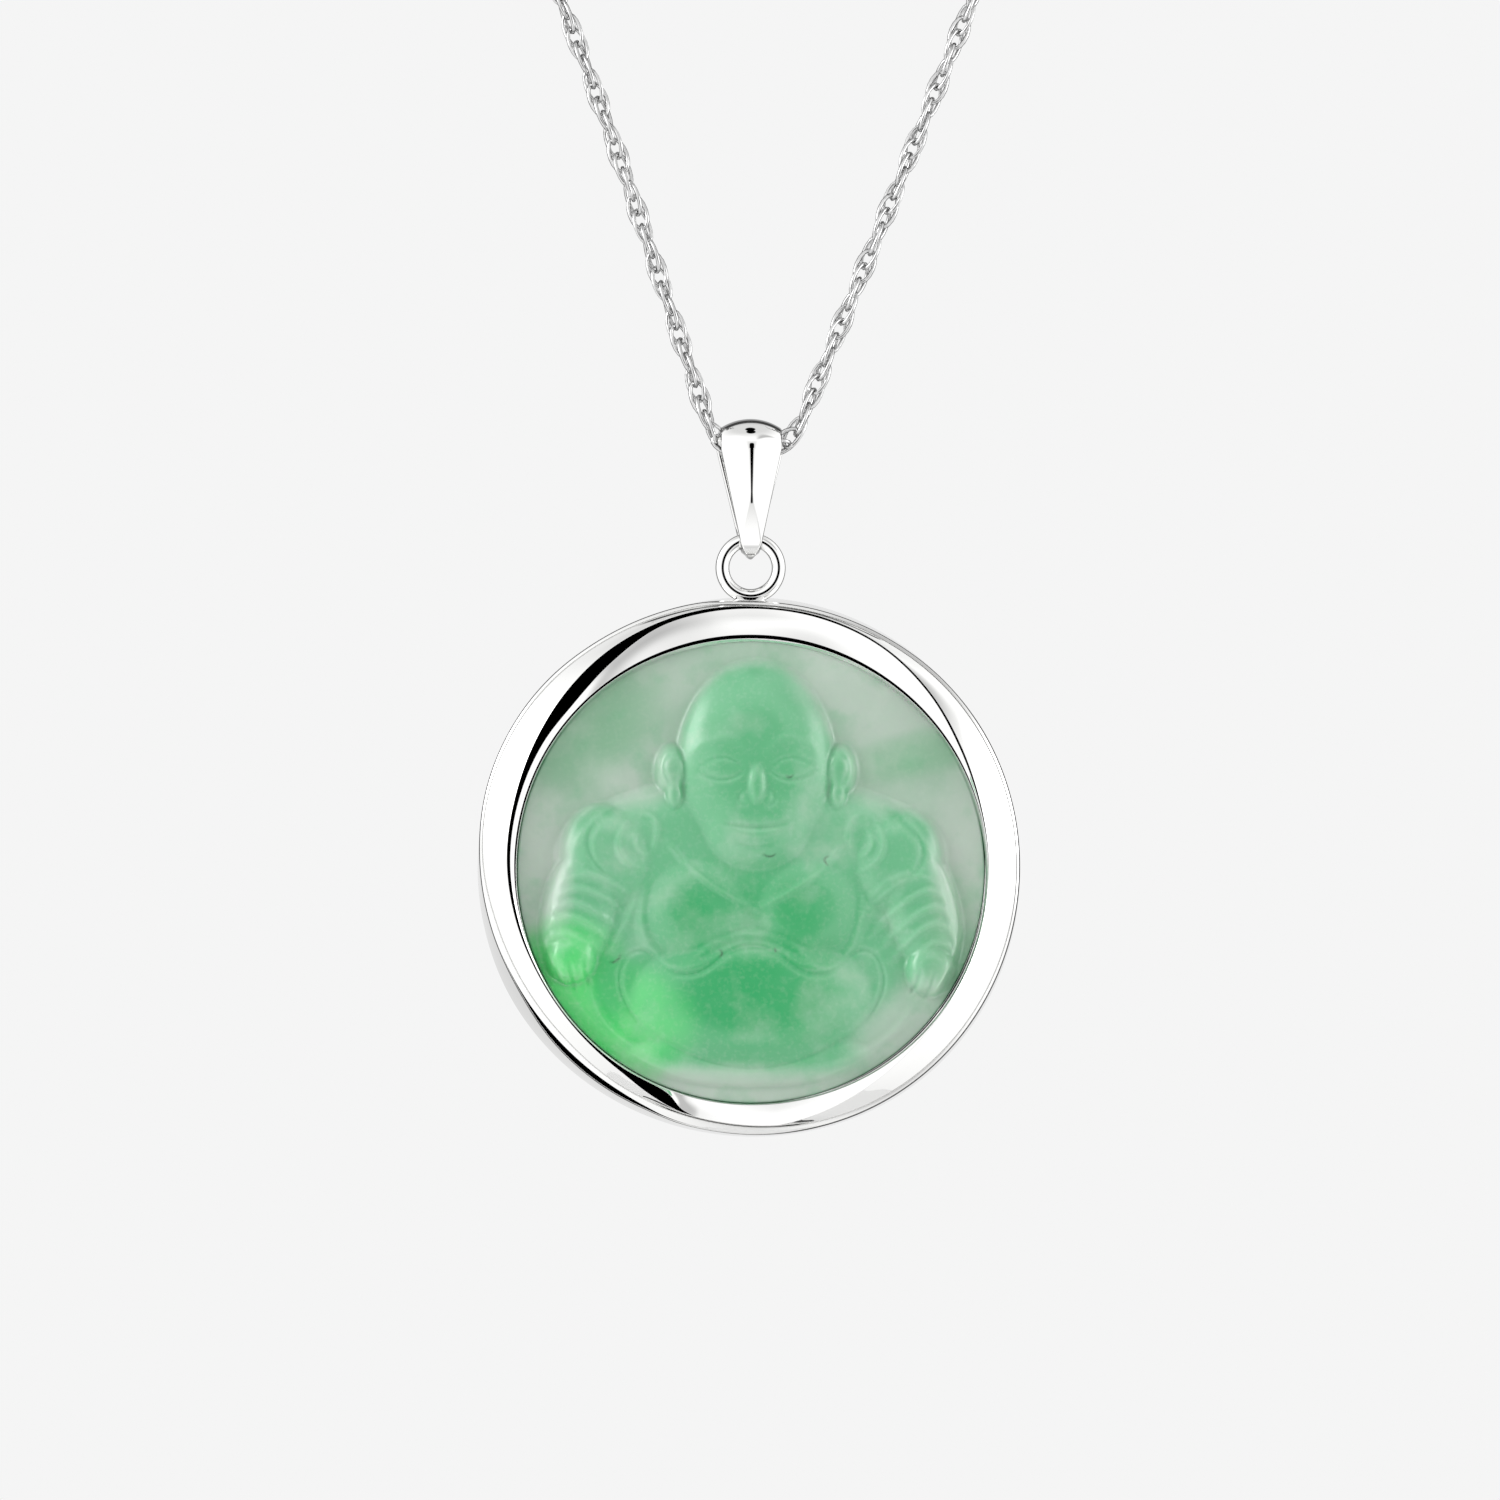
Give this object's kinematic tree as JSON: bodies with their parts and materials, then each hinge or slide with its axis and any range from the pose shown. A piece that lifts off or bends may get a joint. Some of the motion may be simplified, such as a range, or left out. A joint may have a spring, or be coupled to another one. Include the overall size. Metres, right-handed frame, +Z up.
{
  "type": "jade circle pendant necklace",
  "caption": "Twisted rope chain necklace with a folded bail and a round swirling silver frame holding a jade disc carved in relief with a seated figure.",
  "frame": {"origin": "centre of the neck, at the level where the chain goes round its sides", "axes": "+Z up along the neck, front of the pendant towards -Y, +X to the viewer's right"},
  "size_m": [0.0954, 0.1038, 0.1845],
  "materials": {
    "chain_metal": "polished silver",
    "clasp_metal": "polished silver",
    "bail_metal": "mirror-polished silver",
    "frame_metal": "mirror-polished silver",
    "jade": "polished, translucent mottled green"
  },
  "bodies": {
    "chain": {"chain_right": "chain_metal", "chain_left": "chain_metal", "clasp": "clasp_metal"},
    "bail": {"bail": "bail_metal"},
    "pendant": {"bezel_frame": "frame_metal", "jade_carving": "jade"}
  },
  "joints": [
    {"name": "bail_swing", "type": "hinge", "parent": "chain", "child": "bail", "pos_m": [0, -0.057, -0.128], "axis": [1, 0, 0], "range_deg": [-60, 60]},
    {"name": "pendant_swing", "type": "hinge", "parent": "bail", "child": "pendant", "pos_m": [0, -0.057, -0.13245], "axis": [1, 0, 0], "range_deg": [-60, 60]}
  ]
}
